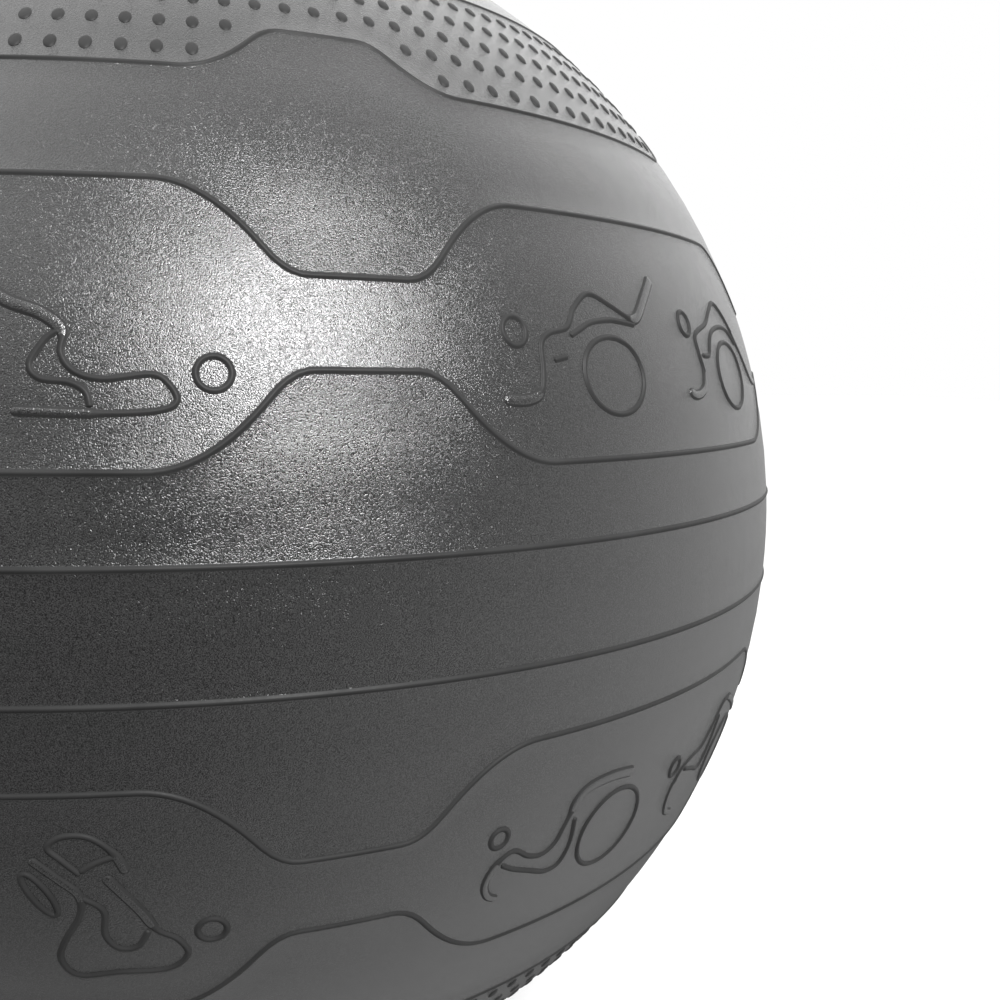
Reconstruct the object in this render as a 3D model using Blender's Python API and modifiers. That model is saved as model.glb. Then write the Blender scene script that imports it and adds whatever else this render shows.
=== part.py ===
"""Exercise ball: a hollow one-piece PVC skin with raised ribs, a valve seat bonded into it, and a push-in plug.

Blender 4.5, metres, +Z up. The ball stands on its flat contact patch, whose centre is the origin. The mould's
poles are on the Z axis, with the valve at the upper one. Angles round the Z axis are measured from +X.
"""

import math

import bmesh
import bpy

# The ball
BALL_RADIUS = 0.325
SKIN = 0.0010
PATCH_RADIUS = 0.034  # an inflated ball flattens this far under its own weight
COLUMNS = 60

# The raised ribs, as latitudes in degrees. The lower half of the ball mirrors the upper one.
WAIST_RIB = 3.9
PANEL_LOW_RIB = 9.2
PANEL_HIGH_RIB = 26.8
GRIP_LOW_RIB = 35.55
GRIP_HIGH_RIB = 49.5
PLAIN_ROWS = (15.2, 21.0, 31.2, 42.6, 56.5, 63.5, 70.5, 77.5)
UPPER_RIBS = (WAIST_RIB, PANEL_LOW_RIB, PANEL_HIGH_RIB, GRIP_LOW_RIB, GRIP_HIGH_RIB)
RIB_HALF_WIDTH = 0.24
RIB_HEIGHT = 0.0010

# The panels narrow to a neck between one lobe and the next, and the grip band bulges over each neck.
# The necks' middles are 56 and 64 degrees apart by turns. They are given as angles round Z from +X.
NECKS = (30.0, 86.0, 150.0, 206.0, 270.0, 326.0)
# A shoulder leaves the neck in a tight bend and meets the lobe in a wide one. Angles from the neck's middle.
SHOULDER_START = 3.3
SHOULDER_STEEPEST = 6.0
SHOULDER_END = 13.0
PANEL_LOW_SHIFT = 5.85
PANEL_HIGH_SHIFT = -5.95
GRIP_LOW_SHIFT = 4.2

# The well that the valve lies in, and the port through its floor
WELL_DEPTH = 0.0028
WELL_FLOOR_RADIUS = 0.0152
WELL_LIP_RADIUS = 0.0180
WELL_FLOOR = 0.0012
PORT_RADIUS = 0.0113
POCKET_RADIUS = 0.0168  # the space under the floor that the seat's flange lies in
POCKET_EDGE_RADIUS = 0.0200

# The valve
GAP = 0.0003
TURNED_STEPS = 32
SEAT_FLANGE_RADIUS = 0.0162
SEAT_FLANGE = 0.0014
SEAT_BOSS_RADIUS = 0.0070
SEAT_BOSS_END_RADIUS = 0.0062
SEAT_LENGTH = 0.0160
BORE_TOP_RADIUS = 0.0050
BORE_END_RADIUS = 0.0040
BORE_CHAMFER = 0.0007
HEAD_RADIUS = 0.0085
HEAD_THICKNESS = 0.0020
HEAD_RIM = 0.0012
HEAD_DISH = 0.0006
STEM_LENGTH = 0.0190
STEM_CLEARANCE = 0.0005
RING_CLEARANCE = 0.0002
RING_DEPTHS = (0.0045, 0.0085, 0.0125)  # below the head's underside
RING_HALF_WIDTH = 0.0007

# The places that follow from them
CENTRE_Z = math.sqrt(BALL_RADIUS**2 - PATCH_RADIUS**2)
POLE_Z = CENTRE_Z + BALL_RADIUS
WELL_Z = POLE_Z - WELL_DEPTH
HEAD_Z = WELL_Z + GAP


def clear_scene():
    for obj in list(bpy.data.objects):
        bpy.data.objects.remove(obj)


def plastic(name, colour, roughness):
    """A Principled material of one plain plastic."""
    material = bpy.data.materials.new(name)
    material.use_nodes = True
    shader = material.node_tree.nodes["Principled BSDF"]
    shader.inputs["Base Color"].default_value = (*colour, 1.0)
    shader.inputs["Roughness"].default_value = roughness
    shader.inputs["Metallic"].default_value = 0.0
    return material


def turned(name, profile, steps, collection, material):
    """The solid that a profile of (radius, z) points makes when it turns about Z. Its outer side runs downwards."""
    mesh = bpy.data.meshes.new(name)
    shape = bmesh.new()
    points = [shape.verts.new((radius, 0.0, z)) for radius, z in profile]
    for start, end in zip(points, points[1:]):
        shape.edges.new((start, end))
    if profile[0][0] > 0.0:
        shape.edges.new((points[-1], points[0]))
    shape.to_mesh(mesh)
    shape.free()
    mesh.materials.append(material)
    obj = bpy.data.objects.new(name, mesh)
    collection.objects.link(obj)
    screw = obj.modifiers.new("turn", "SCREW")
    screw.axis = "Z"
    screw.angle = math.tau
    screw.steps = steps
    screw.render_steps = steps
    screw.use_merge_vertices = True
    screw.merge_threshold = 0.00001
    screw.use_smooth_shade = True
    return obj


def bake_modifiers(obj):
    """Gives obj the mesh that its modifiers make, so that the points can be moved one by one."""
    graph = bpy.context.evaluated_depsgraph_get()
    mesh = bpy.data.meshes.new_from_object(obj.evaluated_get(graph))
    obj.modifiers.clear()
    obj.data = mesh


def on_sphere(radius, latitude):
    """(distance from the axis, z) of a latitude in degrees on a sphere about the ball's centre."""
    angle = math.radians(latitude)
    return radius * math.cos(angle), CENTRE_Z + radius * math.sin(angle)


def sphere_z(radius, from_axis):
    """Height of the upper half of a sphere about the ball's centre, at that distance from the axis."""
    return CENTRE_Z + math.sqrt(radius**2 - from_axis**2)


def outer_rows():
    """(latitude, height above the skin) of every row of points on the outside, from the top down."""
    rows = [(latitude, 0.0) for latitude in PLAIN_ROWS]
    for rib in UPPER_RIBS:
        rows += [(rib - RIB_HALF_WIDTH, 0.0), (rib, RIB_HEIGHT), (rib + RIB_HALF_WIDTH, 0.0)]
    rows += [(-latitude, height) for latitude, height in rows]
    return sorted(rows, reverse=True)


def shell_profile():
    """The skin's section, from the middle of the floor inside, up the inside, over the well and down the outside."""
    inner_radius = BALL_RADIUS - SKIN
    inner_rows = sorted(UPPER_RIBS + PLAIN_ROWS)
    inner_latitudes = [-row for row in reversed(inner_rows)] + inner_rows
    inside = [(0.0, SKIN), (math.sqrt(inner_radius**2 - (CENTRE_Z - SKIN) ** 2), SKIN)]
    inside += [on_sphere(inner_radius, latitude) for latitude in inner_latitudes]
    inside += [
        (POCKET_EDGE_RADIUS, sphere_z(inner_radius, POCKET_EDGE_RADIUS)),
        (POCKET_RADIUS, WELL_Z - WELL_FLOOR),
        (PORT_RADIUS, WELL_Z - WELL_FLOOR),
    ]
    well_wall = (WELL_FLOOR_RADIUS + WELL_LIP_RADIUS) / 2
    well = [
        (PORT_RADIUS, WELL_Z),
        (WELL_FLOOR_RADIUS, WELL_Z),
        (well_wall, (WELL_Z + sphere_z(BALL_RADIUS, well_wall)) / 2),
        (WELL_LIP_RADIUS, sphere_z(BALL_RADIUS, WELL_LIP_RADIUS)),
    ]
    outside = [on_sphere(BALL_RADIUS + height, latitude) for latitude, height in outer_rows()]
    return inside + well + outside + [(PATCH_RADIUS, 0.0), (0.0, 0.0)]


def neck_share(angle):
    """1 along a neck, 0 along a lobe and two parabolic bends on the shoulder, at an angle round Z in degrees."""
    from_neck = min(abs((angle - neck + 180.0) % 360.0 - 180.0) for neck in NECKS)
    half_slope = 1.0 / (SHOULDER_END - SHOULDER_START)
    if from_neck <= SHOULDER_STEEPEST:
        bend = SHOULDER_STEEPEST - SHOULDER_START
        return 1.0 - half_slope * max(from_neck - SHOULDER_START, 0.0) ** 2 / bend
    bend = SHOULDER_END - SHOULDER_STEEPEST
    return half_slope * max(SHOULDER_END - from_neck, 0.0) ** 2 / bend


def neck_shift(latitude):
    """How far in degrees a row at this latitude moves where a panel is at its narrowest. A rib moves as one."""
    knots = [(WAIST_RIB, 0.0)]
    for rib, shift in (
        (PANEL_LOW_RIB, PANEL_LOW_SHIFT),
        (PANEL_HIGH_RIB, PANEL_HIGH_SHIFT),
        (GRIP_LOW_RIB, GRIP_LOW_SHIFT),
    ):
        knots += [(rib - RIB_HALF_WIDTH, shift), (rib + RIB_HALF_WIDTH, shift)]
    knots.append((GRIP_HIGH_RIB - RIB_HALF_WIDTH, 0.0))
    for (low, low_shift), (high, high_shift) in zip(knots, knots[1:]):
        if low <= latitude <= high:
            return low_shift + (high_shift - low_shift) * (latitude - low) / (high - low)
    return 0.0


def shape_panels(shell):
    """Moves the outer rows along their meridians, so that the ribs follow the lobes and necks of the panels."""
    between = BALL_RADIUS - SKIN / 2
    for point in shell.data.vertices:
        x, y, z = point.co
        from_axis = math.hypot(x, y)
        distance = math.hypot(from_axis, z - CENTRE_Z)
        if distance < between:
            continue
        latitude = math.degrees(math.atan2(z - CENTRE_Z, from_axis))
        share = neck_share(math.degrees(math.atan2(y, x)))
        moved = latitude + math.copysign(share * neck_shift(abs(latitude)), latitude)
        new_from_axis, new_z = on_sphere(distance, moved)
        point.co = (x * new_from_axis / from_axis, y * new_from_axis / from_axis, new_z)


def make_shell(collection):
    """The one-piece skin. Its air chamber opens only through the port that the valve seat fills."""
    material = plastic("dark_grey_pvc", (0.10, 0.10, 0.10), 0.45)
    shell = turned("ball_shell", shell_profile(), COLUMNS, collection, material)
    bake_modifiers(shell)
    shape_panels(shell)


def make_valve_seat(collection):
    """The soft insert in the well's floor: a flange under the skin, and a boss with the plug's tapered bore."""
    flange_z = WELL_Z - WELL_FLOOR - GAP
    end_z = WELL_Z - SEAT_LENGTH
    profile = [
        (BORE_TOP_RADIUS + BORE_CHAMFER, WELL_Z),
        (PORT_RADIUS - GAP, WELL_Z),
        (PORT_RADIUS - GAP, flange_z),
        (SEAT_FLANGE_RADIUS, flange_z),
        (SEAT_FLANGE_RADIUS, flange_z - SEAT_FLANGE),
        (SEAT_BOSS_RADIUS, flange_z - SEAT_FLANGE),
        (SEAT_BOSS_END_RADIUS, end_z),
        (BORE_END_RADIUS, end_z),
        (BORE_TOP_RADIUS, WELL_Z - BORE_CHAMFER),
    ]
    material = plastic("soft_grey_pvc", (0.08, 0.08, 0.08), 0.5)
    turned("valve_seat", profile, TURNED_STEPS, collection, material)


def bore_radius(depth):
    """The seat's bore at a depth below the plug head's underside."""
    below_floor = max(depth - GAP, 0.0)
    return BORE_TOP_RADIUS + (BORE_END_RADIUS - BORE_TOP_RADIUS) * below_floor / SEAT_LENGTH


def make_valve_plug(collection):
    """The stopper: a flat head with a raised rim, and a tapered stem with three sealing rings."""
    top_z = HEAD_THICKNESS
    dish_radius = HEAD_RADIUS - HEAD_RIM
    head = [
        (0.0, top_z - HEAD_DISH),
        (dish_radius - HEAD_DISH, top_z - HEAD_DISH),
        (dish_radius, top_z),
        (HEAD_RADIUS - HEAD_DISH, top_z),
        (HEAD_RADIUS, top_z - HEAD_DISH),
        (HEAD_RADIUS, 0.0),
    ]
    stem = [(bore_radius(0.0) - STEM_CLEARANCE, 0.0)]
    for depth in RING_DEPTHS:
        stem += [
            (bore_radius(depth - RING_HALF_WIDTH) - STEM_CLEARANCE, RING_HALF_WIDTH - depth),
            (bore_radius(depth) - RING_CLEARANCE, -depth),
            (bore_radius(depth + RING_HALF_WIDTH) - STEM_CLEARANCE, -depth - RING_HALF_WIDTH),
        ]
    tip_radius = bore_radius(STEM_LENGTH) - STEM_CLEARANCE
    tip_chamfer = tip_radius / 2
    stem += [(tip_radius, tip_chamfer - STEM_LENGTH), (tip_chamfer, -STEM_LENGTH), (0.0, -STEM_LENGTH)]
    material = plastic("grey_stopper_plastic", (0.20, 0.20, 0.20), 0.4)
    plug = turned("valve_plug", head + stem, TURNED_STEPS, collection, material)
    plug.location = (0.0, 0.0, HEAD_Z)


def main():
    clear_scene()
    collection = bpy.data.collections.new("exercise_ball")
    bpy.context.scene.collection.children.link(collection)
    make_shell(collection)
    make_valve_seat(collection)
    make_valve_plug(collection)


main()
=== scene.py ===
"""Exercise ball: the finished looks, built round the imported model. Blender 4.5, metres, +Z up.

The moulded skin, its grip dots and line figures, the valve seat and the plug stand for the plain CAD solids.
Longitudes are in degrees east of -Y, as seen from outside, and latitudes in degrees from the ball's equator.
"""

import math

import bpy
import numpy as np
from mathutils import Matrix, Vector


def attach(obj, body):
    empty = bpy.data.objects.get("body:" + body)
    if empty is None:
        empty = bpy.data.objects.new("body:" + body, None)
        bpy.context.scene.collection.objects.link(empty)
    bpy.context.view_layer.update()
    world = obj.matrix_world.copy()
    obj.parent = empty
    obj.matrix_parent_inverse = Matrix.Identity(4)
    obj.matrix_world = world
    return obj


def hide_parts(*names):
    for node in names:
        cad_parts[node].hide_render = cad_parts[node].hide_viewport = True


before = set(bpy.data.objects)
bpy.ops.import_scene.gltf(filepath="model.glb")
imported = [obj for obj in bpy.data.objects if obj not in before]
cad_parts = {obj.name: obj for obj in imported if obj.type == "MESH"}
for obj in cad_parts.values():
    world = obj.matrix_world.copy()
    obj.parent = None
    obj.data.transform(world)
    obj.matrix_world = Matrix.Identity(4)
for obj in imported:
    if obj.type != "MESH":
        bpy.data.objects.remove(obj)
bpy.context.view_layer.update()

# The ball, as in the CAD
BALL_RADIUS = 0.325
SKIN = 0.0010
PATCH_RADIUS = 0.034
CENTRE_Z = math.sqrt(BALL_RADIUS**2 - PATCH_RADIUS**2)
DEGREE = math.radians(BALL_RADIUS)  # metres along the skin

# The panels: six lobes joined by necks, which are 56 and 64 degrees apart by turns. The mould's upper half is
# turned a little to the east, and the lower one to the west.
NECKS = (0, 56, 120, 176, 240, 296)
LOBES = len(NECKS)
HALF_TWIST = 0.5
PANEL_SHOULDER = (3.3, 6.0, 13.0)  # longitudes from the neck's middle: start, steepest point and end
GRIP_SHOULDER = (3.3, 5.9, 11.5)

# The ribs of one half: latitude on a lobe, how far it moves on a neck, its shoulder, and the rows below it
WAIST_RIB = (3.9, 0.0, PANEL_SHOULDER, 1)
PANEL_LOW_RIB = (9.2, 5.85, PANEL_SHOULDER, 2)
PANEL_HIGH_RIB = (26.8, -5.95, PANEL_SHOULDER, 6)
GRIP_LOW_RIB = (35.55, 4.2, GRIP_SHOULDER, 4)
GRIP_HIGH_RIB = (49.5, 0.0, GRIP_SHOULDER, 5)
RIBS = (WAIST_RIB, PANEL_LOW_RIB, PANEL_HIGH_RIB, GRIP_LOW_RIB, GRIP_HIGH_RIB)
RIB_HALF_WIDTH = 0.00085
RELIEF_HEIGHT = 0.0007
RELIEF_SQUARENESS = 2.6
PARTING_WIDTH = 0.0008
PARTING_HEIGHT = 0.00003

# The dots of the grip bands
DOT_COLUMNS = 136
DOT_ROWS = 5
DOT_FIRST_ROW = 37.15
DOT_ROW_STEP = 2.62
DOT_SHIFT = 0.2  # how far east of the first neck's middle the first column stands
DOT_CLEARANCE = 1.2  # a dot's middle is at least this far above the rib, in degrees
DOT_HALF_WIDTH = 0.00228
DOT_HALF_LENGTH = 0.0034  # along the meridian
DOT_RISE = 0.0006
DOT_SIDES = 16
DOT_RINGS = (0.92, 0.78, 0.55)  # the rings of a dot's dome, as shares of its width
DOT_SQUARENESS = 4

# The line figures
STROKE_HALF_WIDTH = 0.00082
STROKE_STEP = 0.0011
RELIEF_SINK = 0.0002  # how deep the dots and strokes are let into the skin

# The valve, as in the CAD
WELL_DEPTH = 0.0028
WELL_FLOOR_RADIUS = 0.0152
WELL_LIP_RADIUS = 0.0180
WELL_BLEND_RADIUS = 0.0189  # where the well's rounded lip has met the ball
WELL_FLOOR = 0.0012
PORT_RADIUS = 0.0113
POCKET_RADIUS = 0.0168
POCKET_EDGE_RADIUS = 0.0200
WELL_Z = CENTRE_Z + BALL_RADIUS - WELL_DEPTH
GAP = 0.0003

# The skin's mesh
COLUMNS_PER_NECK = 44
COLUMNS_PER_LOBE = 18
NECK_HALF_WIDTH = 14  # the stretch with the closer columns
POLAR_ROWS = 14
INSIDE_ROWS = 40
TURNED_SIDES = 96


# ---------------------------------------------------------------- meshes


def on_sphere(longitude, latitude, height=0.0):
    """Points at a height above the skin, as an array whose last axis is x, y, z."""
    east, north = np.radians(longitude), np.radians(latitude)
    radius = BALL_RADIUS + height
    across = radius * np.cos(north)
    z = CENTRE_Z + radius * np.sin(north)
    return np.stack([across * np.sin(east), -across * np.cos(east), z], axis=-1)


def make_object(name, points, faces, materials, face_materials=None, sharp_angle=30.0):
    """A smooth-shaded mesh object whose edges are crisp only where they turn by more than the sharp angle."""
    mesh = bpy.data.meshes.new(name)
    mesh.from_pydata(points, [], faces)
    for material in materials:
        mesh.materials.append(material)
    if face_materials is not None:
        mesh.polygons.foreach_set("material_index", face_materials)
    mesh.shade_smooth()
    mesh.set_sharp_from_angle(angle=math.radians(sharp_angle))
    mesh.update()
    obj = bpy.data.objects.new(name, mesh)
    bpy.context.scene.collection.objects.link(obj)
    return obj


def turned_faces(row_count, column_count, first_is_pole, last_is_pole):
    """The faces between the rows of a turned mesh, facing out if the solid is on the left of its profile.

    Without poles the last row joins up with the first.
    """
    start = 1 if first_is_pole else 0
    rings = row_count - first_is_pole - last_is_pole
    corners = start + np.arange(rings * column_count).reshape(rings, column_count)
    if not (first_is_pole or last_is_pole):
        corners = np.vstack([corners, corners[:1]])
    here, beside = corners, np.roll(corners, -1, axis=1)
    quads = np.stack([here[:-1], beside[:-1], beside[1:], here[1:]], axis=-1).reshape(-1, 4).tolist()
    first_fan, last_fan = [], []
    if first_is_pole:
        first_fan = [(0, b, a) for a, b in zip(here[0].tolist(), beside[0].tolist())]
    if last_is_pole:
        pole = start + rings * column_count
        last_fan = [(pole, a, b) for a, b in zip(here[-1].tolist(), beside[-1].tolist())]
    return first_fan, quads, last_fan


def turned(name, profile, material, place=(0.0, 0.0, 0.0)):
    """A solid of revolution about Z, from a profile of (radius, z) points with the solid on its left."""
    first_is_pole, last_is_pole = profile[0][0] == 0.0, profile[-1][0] == 0.0
    angles = np.arange(TURNED_SIDES) * math.tau / TURNED_SIDES
    points = []
    for radius, z in profile:
        if radius == 0.0:
            points.append((0.0, 0.0, z))
        else:
            x, y = radius * np.sin(angles), -radius * np.cos(angles)
            points += np.stack([x, y, np.full(TURNED_SIDES, z)], axis=-1).tolist()
    first_fan, quads, last_fan = turned_faces(len(profile), TURNED_SIDES, first_is_pole, last_is_pole)
    obj = make_object(name, points, first_fan + quads + last_fan, [material])
    obj.location = place
    return obj


def rounded(corners, steps=4):
    """A profile of (radius, z) points from corners of (radius, z, fillet).

    A fillet is how far back from its corner a bend starts.
    """
    profile = []
    for index, (radius, z, fillet) in enumerate(corners):
        if fillet == 0.0:
            profile.append((radius, z))
            continue
        corner = Vector((radius, z))
        before = Vector(corners[index - 1][:2])
        after = Vector(corners[(index + 1) % len(corners)][:2])
        bend_start = corner + (before - corner).normalized() * fillet
        bend_end = corner + (after - corner).normalized() * fillet
        for step in range(steps + 1):
            share = step / steps
            point = bend_start * (1 - share) ** 2 + corner * 2 * share * (1 - share) + bend_end * share**2
            profile.append(tuple(point))
    return profile


# ---------------------------------------------------------------- materials


def new_material(name, roughness, specular):
    """A node material and its Principled shader."""
    material = bpy.data.materials.new(name)
    material.use_nodes = True
    shader = material.node_tree.nodes["Principled BSDF"]
    shader.inputs["Roughness"].default_value = roughness
    shader.inputs["Specular IOR Level"].default_value = specular
    return material, shader


def noise(material, size, detail=2.0):
    """A noise whose features are about that size in metres, in the object's own coordinates."""
    nodes, links = material.node_tree.nodes, material.node_tree.links
    place = nodes.new("ShaderNodeTexCoord")
    texture = nodes.new("ShaderNodeTexNoise")
    texture.inputs["Scale"].default_value = 1.0 / size
    texture.inputs["Detail"].default_value = detail
    links.new(place.outputs["Object"], texture.inputs["Vector"])
    return texture.outputs["Fac"]


NOISE_LOW, NOISE_HIGH = 0.3, 0.7  # nearly all of a noise lies between these


def spread(material, value, low, high):
    """A noise, stretched to run from low to high."""
    node = material.node_tree.nodes.new("ShaderNodeMapRange")
    node.inputs["From Min"].default_value = NOISE_LOW
    node.inputs["From Max"].default_value = NOISE_HIGH
    node.inputs["To Min"].default_value = low
    node.inputs["To Max"].default_value = high
    material.node_tree.links.new(value, node.inputs["Value"])
    return node.outputs["Result"]


def tint(material, value, dark, light):
    """A grey that runs from dark to light along a noise."""
    ramp = material.node_tree.nodes.new("ShaderNodeValToRGB")
    ends = ((NOISE_LOW, dark), (NOISE_HIGH, light))
    for element, (position, grey) in zip(ramp.color_ramp.elements, ends):
        element.position = position
        element.color = (grey, grey, grey, 1.0)
    material.node_tree.links.new(value, ramp.inputs["Fac"])
    return ramp.outputs["Color"]


def bump(material, value, depth, under=None):
    """A bump of that depth in metres, over another bump if one is given."""
    node = material.node_tree.nodes.new("ShaderNodeBump")
    node.inputs["Distance"].default_value = depth
    material.node_tree.links.new(value, node.inputs["Height"])
    if under is not None:
        material.node_tree.links.new(under, node.inputs["Normal"])
    return node.outputs["Normal"]


def make_skin_material():
    """Dark grey PVC from a blasted mould: finely grained, glittering in the light, with a soft unevenness.
    Its colour is painted darker in the pits and lighter on the peaks, as painted shade and painted glints.
    """
    material, shader = new_material("grained_pvc", roughness=0.16, specular=0.5)
    links = material.node_tree.links
    grain_and_pit_shade = noise(material, size=0.00045, detail=1.0)
    wave = noise(material, size=0.03)
    # Painted shade in the pits and painted glints on the peaks: the colour follows the same noise as the
    # bump.
    links.new(tint(material, grain_and_pit_shade, dark=0.006, light=0.026), shader.inputs["Base Color"])
    links.new(spread(material, wave, low=0.14, high=0.18), shader.inputs["Roughness"])
    soft = bump(material, wave, depth=0.0002)
    links.new(bump(material, grain_and_pit_shade, depth=0.00019, under=soft), shader.inputs["Normal"])
    return material


def make_relief_material():
    """The same PVC where the mould was cut and left smooth: ribs, dots and figures."""
    material, shader = new_material("smooth_pvc", roughness=0.48, specular=0.09)
    links = material.node_tree.links
    cloud = noise(material, size=0.02, detail=3.0)
    mark = noise(material, size=0.0012)
    links.new(tint(material, cloud, dark=0.014, light=0.019), shader.inputs["Base Color"])
    links.new(spread(material, mark, low=0.45, high=0.55), shader.inputs["Roughness"])
    links.new(bump(material, mark, depth=0.00003), shader.inputs["Normal"])
    return material


def make_seat_material():
    """Softer, slightly shinier grey PVC with faint flow marks."""
    material, shader = new_material("soft_pvc", roughness=0.38, specular=0.5)
    links = material.node_tree.links
    flow = noise(material, size=0.004, detail=4.0)
    pores = noise(material, size=0.0006)
    links.new(tint(material, flow, dark=0.030, light=0.045), shader.inputs["Base Color"])
    links.new(spread(material, flow, low=0.32, high=0.46), shader.inputs["Roughness"])
    links.new(bump(material, pores, depth=0.00004), shader.inputs["Normal"])
    return material


def make_plug_material():
    """Light grey stopper plastic, a little translucent, with faint rub marks."""
    material, shader = new_material("grey_stopper_plastic", roughness=0.36, specular=0.5)
    links = material.node_tree.links
    shader.inputs["Subsurface Weight"].default_value = 0.15
    shader.inputs["Subsurface Radius"].default_value = (0.0010, 0.0009, 0.0008)
    rub = noise(material, size=0.003, detail=4.0)
    pores = noise(material, size=0.0005)
    links.new(tint(material, rub, dark=0.15, light=0.19), shader.inputs["Base Color"])
    links.new(spread(material, rub, low=0.30, high=0.46), shader.inputs["Roughness"])
    links.new(bump(material, pores, depth=0.00003), shader.inputs["Normal"])
    return material


# ---------------------------------------------------------------- the skin


def neck_share(longitudes, shoulder):
    """1 along a neck, 0 along a lobe, and two parabolic bends on the shoulder between them."""
    start, steepest, end = shoulder
    from_neck = np.abs((longitudes[..., None] - NECKS + 180) % 360 - 180).min(axis=-1)
    half_slope = 1.0 / (end - start)
    near = 1.0 - half_slope * np.maximum(from_neck - start, 0.0) ** 2 / (steepest - start)
    far = half_slope * np.maximum(end - from_neck, 0.0) ** 2 / (end - steepest)
    return np.where(from_neck <= steepest, near, far)


def rib_latitudes(rib, longitudes, twist):
    """Where a rib of the upper half's kind runs."""
    latitude, shift, shoulder, _ = rib
    return latitude + shift * neck_share(longitudes - twist, shoulder)


def column_longitudes():
    """Longitudes of the skin's columns, closer round the necks. They start just west of the first neck."""
    columns = []
    for neck, next_neck in zip(NECKS, NECKS[1:] + (360,)):
        east, next_west = neck + NECK_HALF_WIDTH, next_neck - NECK_HALF_WIDTH
        columns.append(np.linspace(neck - NECK_HALF_WIDTH, east, COLUMNS_PER_NECK, endpoint=False))
        columns.append(np.linspace(east, next_west, COLUMNS_PER_LOBE, endpoint=False))
    return np.concatenate(columns)


def relief_height(across):
    """Height of a rounded rib or stroke with soft feet, at a place across it in half-widths."""
    return RELIEF_HEIGHT * math.exp(-(abs(across) ** RELIEF_SQUARENESS))


RIB_HALF_SECTION = (0.0, 0.35, 0.65, 0.9, 1.15, 1.45, 1.8)  # places across a rib in half-widths
RIB_EDGE = 1.45  # where the smooth finish ends
RIB_SECTION = tuple(-across for across in reversed(RIB_HALF_SECTION[1:])) + RIB_HALF_SECTION


def half_rows(longitudes, twist, last_latitude):
    """Rows of one half, from the parting line to the last latitude.

    Each is its latitudes, its height above the skin, and whether the strip up to the next row is a rib's.
    """
    below = np.full_like(longitudes, PARTING_WIDTH / DEGREE)
    rows = [(below / 2, 0.0, False), (below, 0.0, False)]
    for rib in RIBS:
        plain_rows = rib[3]
        middle = rib_latitudes(rib, longitudes, twist)
        lean = np.gradient(middle, longitudes) / np.cos(np.radians(middle))
        half_width = RIB_HALF_WIDTH / DEGREE * np.sqrt(1.0 + lean**2)
        foot = middle + RIB_SECTION[0] * half_width
        for index in range(1, plain_rows + 1):
            rows.append((below + (foot - below) * index / (plain_rows + 1), 0.0, False))
        for across in RIB_SECTION:
            height = 0.0 if across in (RIB_SECTION[0], RIB_SECTION[-1]) else relief_height(across)
            rows.append((middle + across * half_width, height, -RIB_EDGE <= across < RIB_EDGE))
        below = middle - RIB_SECTION[0] * half_width
    for index in range(1, POLAR_ROWS + 1):
        rows.append((below + (last_latitude - below) * index / POLAR_ROWS, 0.0, False))
    return rows


def sphere_z(radius, from_axis):
    """Height of the upper half of a sphere about the ball's centre, at that distance from the axis."""
    return CENTRE_Z + math.sqrt(radius**2 - from_axis**2)


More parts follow.
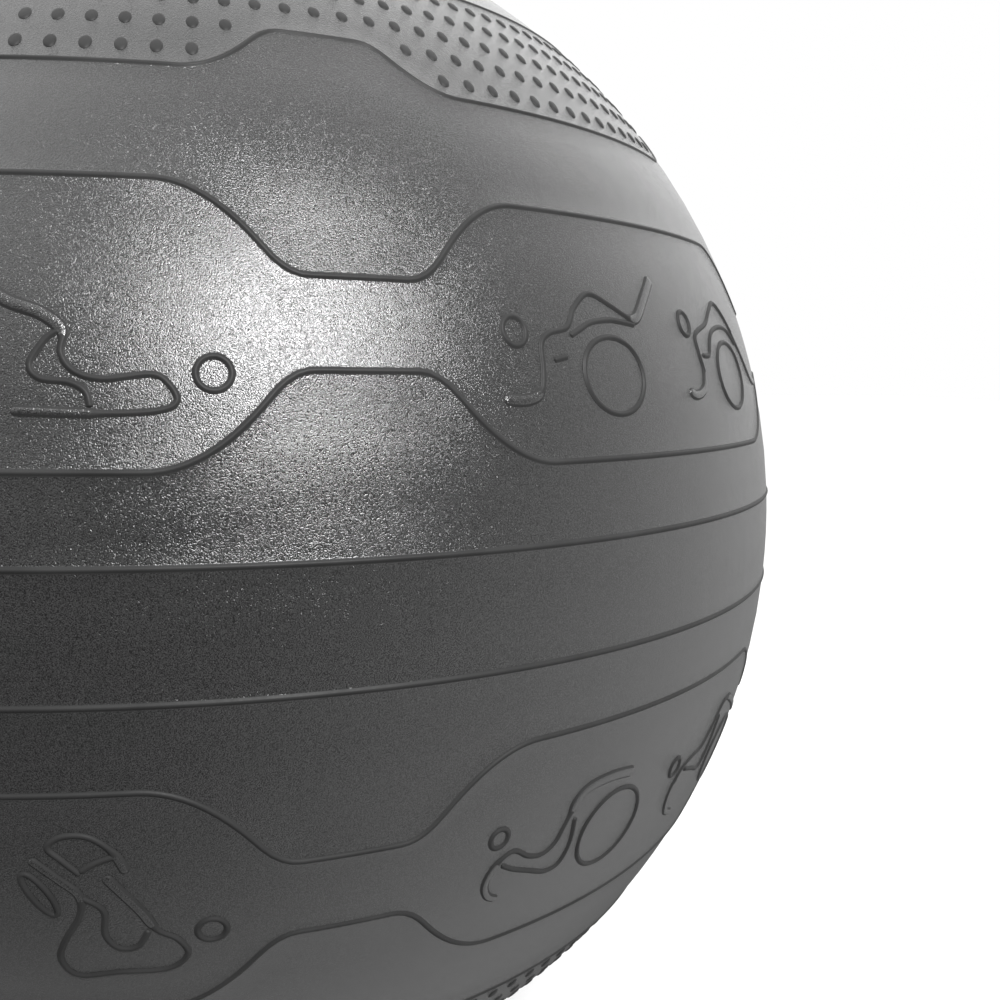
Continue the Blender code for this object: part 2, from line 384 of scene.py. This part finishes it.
def make_skin(skin_material, relief_material):
    """The one-piece skin as a closed shell: up the inside, out through the port and down the outside."""
    longitudes = column_longitudes()
    count = len(longitudes)
    lip_latitude = math.degrees(math.acos(WELL_BLEND_RADIUS / BALL_RADIUS))
    patch_latitude = math.degrees(math.acos(PATCH_RADIUS / BALL_RADIUS))
    upper = half_rows(longitudes, HALF_TWIST, lip_latitude)
    lower = half_rows(longitudes, -HALF_TWIST, patch_latitude)

    rings, is_relief = [], []

    def add_turned(profile):
        for radius, z in profile:
            rings.append((np.full(count, radius), np.full(count, z)))
            is_relief.append(False)

    def add_sphere_row(latitudes, height, relief):
        radius, north = BALL_RADIUS + height, np.radians(latitudes)
        rings.append((radius * np.cos(north), CENTRE_Z + radius * np.sin(north)))
        is_relief.append(relief)

    inner_radius = BALL_RADIUS - SKIN
    inner_patch_radius = math.sqrt(inner_radius**2 - (CENTRE_Z - SKIN) ** 2)
    inside_low = math.degrees(math.asin((SKIN - CENTRE_Z) / inner_radius))
    inside_high = math.degrees(math.acos(POCKET_EDGE_RADIUS / inner_radius))
    inside_latitudes = np.radians(np.linspace(inside_low, inside_high, INSIDE_ROWS))
    inside = [(inner_radius * math.cos(a), CENTRE_Z + inner_radius * math.sin(a)) for a in inside_latitudes]
    add_turned([(inner_patch_radius / 2, SKIN)] + inside)
    well = rounded([
        (POCKET_RADIUS, WELL_Z - WELL_FLOOR, 0.0),
        (PORT_RADIUS, WELL_Z - WELL_FLOOR, 0.0),
        (PORT_RADIUS, WELL_Z, 0.0002),
        (WELL_FLOOR_RADIUS, WELL_Z, 0.0008),
        (WELL_LIP_RADIUS, sphere_z(BALL_RADIUS, WELL_LIP_RADIUS), 0.0007),
        (WELL_BLEND_RADIUS, sphere_z(BALL_RADIUS, WELL_BLEND_RADIUS), 0.0),
    ])
    add_turned(well[:-1])
    for index in range(len(upper) - 1, -1, -1):
        latitudes, height, _ = upper[index]
        add_sphere_row(latitudes, height, index > 0 and upper[index - 1][2])
    add_sphere_row(np.zeros(count), PARTING_HEIGHT, False)
    for latitudes, height, relief in lower:
        add_sphere_row(-latitudes, height, relief)
    add_turned([(PATCH_RADIUS / 2, 0.0)])

    east = np.radians(longitudes)
    points = [np.array([[0.0, 0.0, SKIN]])]
    for radius, z in rings:
        points.append(np.stack([radius * np.sin(east), -radius * np.cos(east), z], axis=-1))
    points.append(np.array([[0.0, 0.0, 0.0]]))
    points = np.concatenate(points)
    first_fan, quads, last_fan = turned_faces(len(rings) + 2, count, True, True)
    faces = [face[::-1] for face in first_fan + quads + last_fan]  # the skin is on the right of its profile
    quad_materials = np.repeat(np.array(is_relief[:-1], int), count).tolist()
    face_materials = [0] * len(first_fan) + quad_materials + [0] * len(last_fan)
    materials = [skin_material, relief_material]
    skin = make_object("moulded_skin", points.tolist(), faces, materials, face_materials)
    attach(skin, "ball")
    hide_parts("ball_shell")


# ---------------------------------------------------------------- grip dots


def local_axes(longitude, latitude):
    """Unit vectors east, north and out of the skin at points on the ball, as arrays that end in x, y, z."""
    east_angle, north_angle = np.radians(longitude), np.radians(latitude)
    zero = np.zeros_like(east_angle)
    east = np.stack([np.cos(east_angle), np.sin(east_angle), zero], axis=-1)
    out = np.stack([np.cos(north_angle) * np.sin(east_angle),
                    -np.cos(north_angle) * np.cos(east_angle), np.sin(north_angle)], axis=-1)
    return east, np.cross(out, east), out


def dot_places(half, twist):
    """(longitude, latitude) of a grip band's dots. The rows nearest the panels give way to its bulges."""
    places = []
    for row in range(DOT_ROWS):
        latitude = DOT_FIRST_ROW + row * DOT_ROW_STEP
        for column in range(DOT_COLUMNS):
            longitude = twist + DOT_SHIFT + column * 360.0 / DOT_COLUMNS
            rib = rib_latitudes(GRIP_LOW_RIB, np.array(longitude), twist)
            if latitude - rib >= DOT_CLEARANCE:
                places.append((longitude, half * latitude))
    return np.array(places)


def make_dots(name, half, twist, material):
    """The dots of one grip band, each a closed dome let into the skin."""
    places = dot_places(half, twist)
    east, north, out = local_axes(places[:, 0], places[:, 1])
    foot = on_sphere(places[:, 0], places[:, 1])
    sections = [(1.0, -RELIEF_SINK), (1.0, 0.0)]
    sections += [(share, DOT_RISE * (1.0 - share**DOT_SQUARENESS)) for share in DOT_RINGS]
    turn = np.arange(DOT_SIDES) * math.tau / DOT_SIDES
    rings = [np.stack([share * DOT_HALF_WIDTH * np.cos(turn), share * DOT_HALF_LENGTH * np.sin(turn),
                       np.full(DOT_SIDES, height)], axis=-1) for share, height in sections]
    dome = np.concatenate([[[0.0, 0.0, -RELIEF_SINK]], *rings, [[0.0, 0.0, DOT_RISE]]])
    points = (foot[:, None, :] + dome[None, :, :1] * east[:, None, :]
              + dome[None, :, 1:2] * north[:, None, :] + dome[None, :, 2:] * out[:, None, :]).reshape(-1, 3)
    first_fan, quads, last_fan = turned_faces(len(sections) + 2, DOT_SIDES, True, True)
    faces = []
    for index in range(len(places)):
        start = index * len(dome)
        faces += [[start + corner for corner in face] for face in first_fan + quads + last_fan]
    dots = make_object(name, points.tolist(), faces, [material], sharp_angle=40.0)
    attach(dots, "ball")


# ---------------------------------------------------------------- line figures

# A figure is drawn in degrees: east of the start of its sixth of the ball, and latitude above the equator.
# The ends of an open stroke have a width and a length over which they keep it, in millimetres.
PLAIN_END = (2000 * STROKE_HALF_WIDTH, 0.0)


def ring(east, north, half_width, half_height=None, flat_top=0.0, lean=0.0):
    """The points of a closed oval, which leans to the west by that many degrees."""
    half_height = half_height or half_width
    stretch = 1.0 / math.cos(math.radians(north))
    turn = math.radians(lean)
    points = []
    for index in range(16):
        angle = math.tau * index / 16
        across = half_width * math.cos(angle)
        rise = half_height * math.sin(angle) - flat_top * max(math.sin(angle), 0.0) ** 3
        points.append((east + (across * math.cos(turn) - rise * math.sin(turn)) * stretch,
                       north + across * math.sin(turn) + rise * math.cos(turn)))
    return {"points": points, "closed": True}


def line(*points, start=PLAIN_END, end=PLAIN_END):
    """An open stroke."""
    return {"points": points, "closed": False, "start": start, "end": end}


# Hands on the floor, hips on the ball and one leg raised
BRIDGE_ON_HANDS = (
    ring(10.75, 17.8, 0.9, 1.0),
    line((9.2, 13.3), (11.0, 13.25), (12.3, 13.8), (12.7, 15.2), (12.9, 17.0), (13.8, 17.75), (15.5, 18.2),
         (16.6, 19.6), (18.4, 20.7), (20.5, 20.0), (22.0, 19.3), (23.3, 19.1), (25.1, 20.7), (26.9, 22.4),
         start=(4.0, 14.0), end=(4.4, 28.0)),
    line((13.8, 15.9), (15.1, 16.15)),
    line((15.7, 17.6), (16.7, 18.05), (18.0, 18.6), (20.0, 18.85), (21.6, 18.75), (23.0, 18.6)),
    ring(19.65, 14.95, 3.05, 2.75, flat_top=0.1),
)

# Lying back over the ball
BACK_OVER_BALL = (
    ring(30.6, 19.0, 0.84, 0.95),
    line((29.0, 13.7), (30.2, 13.4), (31.7, 13.9), (32.3, 15.2), (32.0, 16.9), (32.3, 18.2), (35.2, 19.2),
         (37.2, 20.4), (39.0, 21.1), (40.9, 20.1), (42.7, 18.4), (44.6, 16.6), (46.4, 15.0), (48.0, 14.4),
         (49.8, 14.3), start=(3.8, 20.0), end=(3.6, 46.0)),
    line((32.8, 16.5), (34.1, 16.55), (34.9, 17.5), (35.9, 18.4), (37.6, 18.9), (39.6, 19.0), (41.2, 18.6),
         (42.6, 17.6)),
    ring(38.85, 15.0, 3.15, 2.8, flat_top=0.1),
)

# Lying on the back with the calves on the ball
CALVES_ON_BALL = (
    ring(50.85, 14.8, 1.0),
    line((37.2, 20.4), (39.0, 18.9), (41.2, 18.1), (42.4, 17.1), (42.4, 15.8), (43.2, 14.8), (44.8, 14.4),
         (47.4, 14.7), (48.4, 14.1), (48.8, 13.2), (48.0, 12.7), (46.0, 12.5), (43.0, 12.5), (39.8, 12.6),
         start=(4.0, 33.0), end=(2.8, 22.0)),
    line((42.3, 17.2), (41.5, 16.6), (40.7, 15.2), (41.3, 14.4), (42.9, 14.2), (43.8, 13.7), (44.1, 12.8)),
    ring(35.2, 16.2, 3.1, 2.9),
)

# Sitting upright on the ball with the arms out
SEATED_ARMS_OUT = (
    ring(23.0, 23.9, 0.88),
    line((17.6, 21.6), (20.6, 21.3), (22.2, 22.0), (24.4, 22.0), (26.2, 21.2), (29.0, 20.8),
         start=(3.6, 4.0), end=(3.6, 4.0)),
    line((21.9, 20.6), (21.8, 18.6), (22.6, 17.2), (25.0, 16.9), (27.2, 16.6), (28.1, 14.8), (28.2, 12.9),
         (30.2, 12.5), end=(4.0, 6.0)),
    line((24.6, 20.6), (24.8, 19.2), (27.2, 18.7), (29.4, 17.6), (30.2, 15.6)),
    ring(22.3, 13.7, 2.9, 2.7, flat_top=0.3),
)

# Hips up, with hands on the floor and feet on the ball
FEET_ON_BALL = (
    ring(10.95, -16.5, 0.7, 0.78),
    line((12.1, -22.2), (11.1, -21.6), (10.6, -20.4), (11.1, -18.9), (12.5, -18.0), (14.1, -18.9),
         (15.5, -19.2), (16.6, -18.5), (17.1, -17.2), (17.6, -15.8), (18.2, -14.8), (19.4, -14.3),
         (21.6, -14.2), (24.0, -14.5), start=(3.0, 22.0), end=(4.6, 37.0)),
    line((11.7, -19.0), (12.9, -19.7), (14.6, -20.4), (16.5, -21.1), (17.8, -20.7), (18.3, -19.0),
         (18.1, -16.8)),
    ring(22.9, -19.15, 3.3, 3.4),
)

# Crouching with the back against the ball
CROUCH_AT_BALL = (
    ring(31.3, -16.5, 0.78, 0.82),
    line((34.9, -22.2), (33.2, -21.4), (32.3, -19.4), (33.0, -17.4), (34.8, -16.7), (36.8, -16.4),
         (38.2, -15.0), (39.8, -13.3), (41.6, -13.1), (44.2, -14.1), (46.6, -15.2), (48.9, -16.4),
         start=(3.4, 26.0), end=(3.4, 42.0)),
    line((34.0, -17.6), (36.3, -18.3), (38.2, -18.9), (39.2, -17.8), (39.6, -16.0), (39.9, -14.2)),
    ring(44.3, -19.0, 3.2, 3.2),
)

# Folded forwards on a low ball
FOLDED_FORWARDS = (
    ring(51.1, -19.6, 0.88),
    line((40.7, -13.4), (42.2, -14.9), (43.3, -16.2), (43.1, -17.8), (42.0, -19.7), (41.5, -21.3),
         (42.4, -22.8), (45.0, -22.7), (48.2, -22.7), (49.5, -21.5), (48.9, -20.1), (47.7, -19.2),
         (46.7, -17.4), (44.9, -14.8), start=(2.6, 22.0), end=(3.2, 24.0)),
    line((43.4, -16.3), (44.6, -17.4), (44.5, -19.3), (45.2, -20.5), (46.4, -20.5), (47.2, -19.2)),
    ring(40.95, -16.0, 0.5, 1.75, lean=26.0),
    line((43.5, -14.6), (42.5, -13.5), (41.8, -12.6), (42.7, -11.9), (44.2, -12.0), (45.5, -13.1),
         (46.2, -14.6), end=(3.0, 6.0)),
    line((43.5, -14.4), (44.5, -13.8), (45.6, -13.4)),
)

# Kneeling and leaning over the ball
KNEELING_OVER_BALL = (
    ring(30.0, -17.0, 0.8),
    line((12.4, -22.4), (15.6, -22.5), (18.2, -21.9), (18.0, -19.4), (18.8, -16.8), (21.6, -14.9),
         (24.8, -14.9), (27.4, -16.0), (29.0, -18.9), (29.6, -21.4), start=(3.8, 6.0), end=(3.8, 4.0)),
    line((19.6, -19.8), (20.4, -18.0), (22.4, -16.6), (24.6, -16.4), (26.2, -17.2)),
    ring(24.0, -20.4, 2.9, 2.8, flat_top=0.2),
)

UPPER_FIGURES = (BRIDGE_ON_HANDS + BACK_OVER_BALL, SEATED_ARMS_OUT + CALVES_ON_BALL)
LOWER_FIGURES = (FEET_ON_BALL + CROUCH_AT_BALL, KNEELING_OVER_BALL + FOLDED_FORWARDS)

STROKE_SECTION = (-1.45, -1.1, -0.8, -0.45, 0.0, 0.45, 0.8, 1.1, 1.45)  # places across in half-widths
FLAT_TOP = 0.45  # where a stroke is wide, the part within this is spread out flat and grained like the skin
WIDE = 0.0004  # a stroke counts as wide where each half is this much wider than a plain one
SPLINE_STEPS = 10
END_STATIONS = 5  # stations round an open stroke's rounded end
END_START = 0.2  # the first of them, in radians from the tip
END_SOFTNESS = 2.5
END_TAPER = 0.006  # metres over which a wide end then narrows to the stroke's width


def smooth_line(points, closed):
    """A Catmull-Rom curve through points, as closely spaced points."""
    points = np.array(points, float)
    if closed:
        points = np.vstack([points[-1:], points, points[:2]])
    else:
        points = np.vstack([2 * points[0] - points[1], points, 2 * points[-1] - points[-2]])
    share = (np.arange(SPLINE_STEPS) / SPLINE_STEPS)[:, None]
    stretches = []
    for before, start, end, after in zip(points, points[1:], points[2:], points[3:]):
        curve = 2 * start + (end - before) * share
        curve = curve + (2 * before - 5 * start + 4 * end - after) * share**2
        curve = curve + (3 * start - before - 3 * end + after) * share**3
        stretches.append(curve / 2)
    stretches.append(points[-2:-1])
    return np.concatenate(stretches)


def extra_half_width(end, from_end):
    """How much wider than half a plain stroke an end is, at distances from it in metres."""
    width, length = (millimetres / 1000 for millimetres in end)
    share = np.clip(1.0 - (from_end - length) / END_TAPER, 0.0, 1.0)
    return (width / 2 - STROKE_HALF_WIDTH) * share**2 * (3.0 - 2.0 * share)


def stroke_stations(stroke):
    """Stations along a stroke: longitudes, latitudes, extra half-widths, shares of full width and height."""
    path = smooth_line(stroke["points"], stroke["closed"])
    middle = math.cos(math.radians(path[:, 1].mean()))
    steps = np.hypot(np.diff(path[:, 0]) * middle, np.diff(path[:, 1])) * DEGREE
    along = np.concatenate([[0.0], np.cumsum(steps)])
    length = along[-1]
    if stroke["closed"]:
        stations = np.linspace(0.0, length, round(length / STROKE_STEP), endpoint=False)
        widening, caps = np.zeros(len(stations)), np.ones(len(stations))
    else:
        angles = np.linspace(END_START, math.pi / 2, END_STATIONS)
        start_cap, end_cap = (stroke[end][0] / 2000 * (1.0 - np.cos(angles)) for end in ("start", "end"))
        between = np.linspace(start_cap[-1], length - end_cap[-1], max(round(length / STROKE_STEP), 3))[1:-1]
        stations = np.concatenate([start_cap, between, length - end_cap[::-1]])
        caps = np.concatenate([np.sin(angles), np.ones(len(between)), np.sin(angles[::-1])])
        widening = extra_half_width(stroke["start"], stations)
        widening += extra_half_width(stroke["end"], length - stations)
    heights = 1.0 - np.sqrt(1.0 - caps**2) ** END_SOFTNESS
    longitudes = np.interp(stations, along, path[:, 0])
    latitudes = np.interp(stations, along, path[:, 1])
    return longitudes, latitudes, widening, caps, heights


def stroke_mesh(stroke, east_shift):
    """Points, faces and the faces' material numbers of a closed, rounded ribbon on the skin."""
    longitudes, latitudes, widening, caps, heights = stroke_stations(stroke)
    longitudes = longitudes + east_shift
    middle = on_sphere(longitudes, latitudes)
    _, _, out = local_axes(longitudes, latitudes)
    if stroke["closed"]:
        forward = np.roll(middle, -1, axis=0) - np.roll(middle, 1, axis=0)
    else:
        forward = np.gradient(middle, axis=0)
    side = np.cross(forward, out)
    side /= np.linalg.norm(side, axis=1)[:, None]
    edge = STROKE_SECTION[-1]
    rows = [(-edge, None)] + [(across, relief_height(across)) for across in STROKE_SECTION] + [(edge, None)]
    section = []
    for across, height in rows:
        rise = np.full(len(heights), -RELIEF_SINK) if height is None else heights * height
        reach = (across * STROKE_HALF_WIDTH + np.sign(across) * widening) * caps
        section.append(middle + side * reach[:, None] + out * rise[:, None])
    points = np.stack(section, axis=1).reshape(-1, 3)
    size = len(rows)
    corners = np.arange(len(points)).reshape(-1, size)
    if stroke["closed"]:
        loops, widening = np.vstack([corners, corners[:1]]), np.append(widening, widening[:1])
    else:
        loops = corners
    here, beside = loops, np.roll(loops, -1, axis=1)
    faces = np.stack([here[:-1], beside[:-1], beside[1:], here[1:]], axis=-1).reshape(-1, 4).tolist()
    in_top = np.abs([across for across, _ in rows]) <= FLAT_TOP
    is_wide = np.minimum(widening[:-1], widening[1:]) > WIDE
    materials = np.outer(is_wide, in_top & np.roll(in_top, -1)).astype(int).ravel().tolist()
    if not stroke["closed"]:
        faces += [corners[0][::-1].tolist(), corners[-1].tolist()]
        materials += [0, 0]
    return points, faces, materials


def make_figures(name, panels, twist, relief_material, skin_material):
    """The line figures of one half's panels. The panels' drawings take turns round the ball."""
    points, faces, face_materials = [], [], []
    start = 0
    for index in range(LOBES):
        for stroke in panels[index % len(panels)]:
            stroke_points, stroke_faces, stroke_materials = stroke_mesh(stroke, twist + index * 360 / LOBES)
            points.append(stroke_points)
            faces += [[start + corner for corner in face] for face in stroke_faces]
            face_materials += stroke_materials
            start += len(stroke_points)
    points = np.concatenate(points).tolist()
    materials = [relief_material, skin_material]
    figures = make_object(name, points, faces, materials, face_materials, sharp_angle=40.0)
    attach(figures, "ball")


# ---------------------------------------------------------------- the valve

SEAT_FLANGE_RADIUS = 0.0162
SEAT_FLANGE = 0.0014
SEAT_BOSS_RADIUS = 0.0070
SEAT_BOSS_END_RADIUS = 0.0062
SEAT_LENGTH = 0.0160
BORE_TOP_RADIUS = 0.0050
BORE_END_RADIUS = 0.0040
BORE_CHAMFER = 0.0007
HEAD_RADIUS = 0.0085
HEAD_THICKNESS = 0.0020
HEAD_RIM = 0.0012
HEAD_DISH = 0.0006
STEM_LENGTH = 0.0190
STEM_CLEARANCE = 0.0005
RING_CLEARANCE = 0.0002
RING_DEPTHS = (0.0045, 0.0085, 0.0125)
RING_HALF_WIDTH = 0.0007
TIP_FILLET = 0.45  # share of the tip's radius
PIP_RADIUS = 0.0010  # the moulding pip in the middle of the dish
PIP_HEIGHT = 0.0002


def make_valve_seat(material):
    """The soft insert in the well's floor, with its edges rounded."""
    flange_z = WELL_Z - WELL_FLOOR - GAP
    end_z = WELL_Z - SEAT_LENGTH
    corners = [
        (BORE_END_RADIUS, end_z, 0.0003),
        (SEAT_BOSS_END_RADIUS, end_z, 0.0004),
        (SEAT_BOSS_RADIUS, flange_z - SEAT_FLANGE, 0.0006),
        (SEAT_FLANGE_RADIUS, flange_z - SEAT_FLANGE, 0.0004),
        (SEAT_FLANGE_RADIUS, flange_z, 0.0002),
        (PORT_RADIUS - GAP, flange_z, 0.0),
        (PORT_RADIUS - GAP, WELL_Z, 0.0003),
        (BORE_TOP_RADIUS + BORE_CHAMFER, WELL_Z, 0.0003),
        (BORE_TOP_RADIUS, WELL_Z - BORE_CHAMFER, 0.0003),
    ]
    seat = turned("moulded_valve_seat", rounded(corners), material)
    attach(seat, "ball")
    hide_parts("valve_seat")


def bore_radius(depth):
    """The seat's bore at a depth below the plug head's underside."""
    return BORE_TOP_RADIUS + (BORE_END_RADIUS - BORE_TOP_RADIUS) * max(depth - GAP, 0.0) / SEAT_LENGTH


def make_valve_plug(material):
    """The stopper: a dished head with a raised rim, and a tapered stem with three rounded sealing rings."""
    dish_radius = HEAD_RADIUS - HEAD_RIM
    tip_radius = bore_radius(STEM_LENGTH) - STEM_CLEARANCE
    dish_z = HEAD_THICKNESS - HEAD_DISH
    corners = [(0.0, -STEM_LENGTH, 0.0), (tip_radius, -STEM_LENGTH, tip_radius * TIP_FILLET)]
    for depth in reversed(RING_DEPTHS):
        corners += [
            (bore_radius(depth + RING_HALF_WIDTH) - STEM_CLEARANCE, -depth - RING_HALF_WIDTH, 0.0001),
            (bore_radius(depth) - RING_CLEARANCE, -depth, 0.0003),
            (bore_radius(depth - RING_HALF_WIDTH) - STEM_CLEARANCE, RING_HALF_WIDTH - depth, 0.0001),
        ]
    corners += [
        (bore_radius(0.0) - STEM_CLEARANCE, 0.0, 0.0004),
        (HEAD_RADIUS, 0.0, 0.0003),
        (HEAD_RADIUS, HEAD_THICKNESS, 0.0007),
        (dish_radius, HEAD_THICKNESS, 0.0004),
        (dish_radius - HEAD_DISH, dish_z, 0.0004),
        (PIP_RADIUS + PIP_HEIGHT, dish_z, 0.0001),
        (PIP_RADIUS, dish_z + PIP_HEIGHT, 0.0001),
        (0.0, dish_z + PIP_HEIGHT, 0.0),
    ]
    plug = turned("moulded_valve_plug", rounded(corners), material, place=(0.0, 0.0, WELL_Z + GAP))
    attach(plug, "plug")
    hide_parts("valve_plug")


# ---------------------------------------------------------------- floor, light and camera

BALL_CENTRE = Vector((0.0, 0.0, CENTRE_Z))
FLOOR_HALF_SIZE = 12.0
FLOOR_DROP = 0.0002  # below the ball's flat patch, so that the two don't coincide
FLOOR_SHADE = 0.35
FLOOR_GLOW = 0.5
PANEL_SHARPNESS = 4.0
# Each panel's azimuth, elevation and strength
LIGHT_PANELS = (
    (-90, 50, 2.9),
    (90, 50, 0.5),
    (135, 50, 2.2),
    (90, 0, 1.05),
    (45, -25, 0.5),
    (60, -60, 1.0),
    (-120, -60, 0.5),
    (-135, 0, 0.7),
)
CAMERA_LENS = 38.41  # millimetres, on a 36 mm sensor
CAMERA_AZIMUTH = 23.5
CAMERA_TILT = 7.28  # downwards
CAMERA_ROLL = 0.87
CAMERA_OFFSET = (0.530, 0.007, 2.004)  # from the ball's centre along the camera's own axes, in ball radii


def direction(azimuth, elevation):
    """Unit vector from the ball towards an azimuth east of -Y and an elevation, both in degrees."""
    east, up = math.radians(azimuth), math.radians(elevation)
    return Vector((math.sin(east) * math.cos(up), -math.cos(east) * math.cos(up), math.sin(up)))


def make_floor():
    """A plain white floor that takes the ball's shadow. The ball is lit by the studio alone."""
    half = FLOOR_HALF_SIZE
    points = [(-half, -half, 0.0), (half, -half, 0.0), (half, half, 0.0), (-half, half, 0.0)]
    material, shader = new_material("white_floor", 0.9, 0.0)
    shader.inputs["Base Color"].default_value = (FLOOR_SHADE, FLOOR_SHADE, FLOOR_SHADE, 1.0)
    shader.inputs["Emission Color"].default_value = (1.0, 1.0, 1.0, 1.0)
    shader.inputs["Emission Strength"].default_value = FLOOR_GLOW
    floor = make_object("floor", points, [(0, 1, 2, 3)], [material])
    floor.location.z = -FLOOR_DROP
    floor.visible_diffuse = False
    floor.visible_glossy = False
    floor.visible_shadow = False


def make_world():
    """White to the camera, and broad soft panels of light to everything else."""
    world = bpy.data.worlds.new("studio")
    bpy.context.scene.world = world
    world.use_nodes = True
    nodes, links = world.node_tree.nodes, world.node_tree.links
    nodes.clear()

    def calculate(operation, first, second, third=0.0):
        node = nodes.new("ShaderNodeMath")
        node.operation = operation
        for socket, value in zip(node.inputs, (first, second, third)):
            if isinstance(value, float):
                socket.default_value = value
            else:
                links.new(value, socket)
        return node.outputs["Value"]

    place = nodes.new("ShaderNodeTexCoord")
    strength = 0.0
    for azimuth, elevation, panel_strength in LIGHT_PANELS:
        facing = nodes.new("ShaderNodeVectorMath")
        facing.operation = "DOT_PRODUCT"
        facing.inputs[1].default_value = direction(azimuth, elevation)
        links.new(place.outputs["Generated"], facing.inputs[0])
        lobe = calculate("POWER", calculate("MAXIMUM", facing.outputs["Value"], 0.0), PANEL_SHARPNESS)
        strength = calculate("MULTIPLY_ADD", lobe, panel_strength, strength)

    seen, light = nodes.new("ShaderNodeBackground"), nodes.new("ShaderNodeBackground")
    for background in (seen, light):
        background.inputs["Color"].default_value = (1.0, 1.0, 1.0, 1.0)
    seen.inputs["Strength"].default_value = 1.0
    links.new(strength, light.inputs["Strength"])
    path, mix = nodes.new("ShaderNodeLightPath"), nodes.new("ShaderNodeMixShader")
    output = nodes.new("ShaderNodeOutputWorld")
    links.new(path.outputs["Is Camera Ray"], mix.inputs["Fac"])
    links.new(light.outputs["Background"], mix.inputs[1])
    links.new(seen.outputs["Background"], mix.inputs[2])
    links.new(mix.outputs["Shader"], output.inputs["Surface"])


def make_softbox(name, azimuth, elevation, distance, size, power):
    """A square area light that faces the ball and that the camera doesn't see."""
    light = bpy.data.lights.new(name, "AREA")
    light.shape = "SQUARE"
    light.size = size
    light.energy = power
    obj = bpy.data.objects.new(name, light)
    towards = direction(azimuth, elevation)
    obj.location = BALL_CENTRE + towards * distance
    obj.rotation_euler = towards.to_track_quat("Z", "Y").to_euler()
    obj.visible_camera = False
    bpy.context.scene.collection.objects.link(obj)


def make_camera():
    """Close to the ball, with the ball's middle well left of the frame's."""
    camera_data = bpy.data.cameras.new("camera")
    camera_data.sensor_width = 36.0
    camera_data.lens = CAMERA_LENS
    camera_data.clip_start = 0.01
    camera = bpy.data.objects.new("camera", camera_data)
    aim = Matrix.Rotation(math.radians(-CAMERA_AZIMUTH), 4, "Z")
    tilt = Matrix.Rotation(math.radians(90 - CAMERA_TILT), 4, "X")
    roll = Matrix.Rotation(math.radians(CAMERA_ROLL), 4, "Z")
    turn = aim @ tilt @ roll
    from_centre = Vector(CAMERA_OFFSET) * BALL_RADIUS
    camera.matrix_world = Matrix.Translation(BALL_CENTRE + turn @ from_centre) @ turn
    bpy.context.scene.collection.objects.link(camera)
    bpy.context.scene.camera = camera


def main():
    skin_material, relief_material = make_skin_material(), make_relief_material()
    make_camera()
    make_skin(skin_material, relief_material)
    for name, half, twist in (("upper", 1, HALF_TWIST), ("lower", -1, -HALF_TWIST)):
        make_dots(f"grip_dots_{name}", half, twist, relief_material)
    make_figures("figures_upper", UPPER_FIGURES, HALF_TWIST, relief_material, skin_material)
    make_figures("figures_lower", LOWER_FIGURES, -HALF_TWIST, relief_material, skin_material)
    make_valve_seat(make_seat_material())
    make_valve_plug(make_plug_material())
    make_floor()
    make_world()
    make_softbox("key_softbox", azimuth=3.2, elevation=33.0, distance=2.0, size=0.6, power=90.0)
    bpy.context.scene.view_settings.view_transform = "Standard"


main()
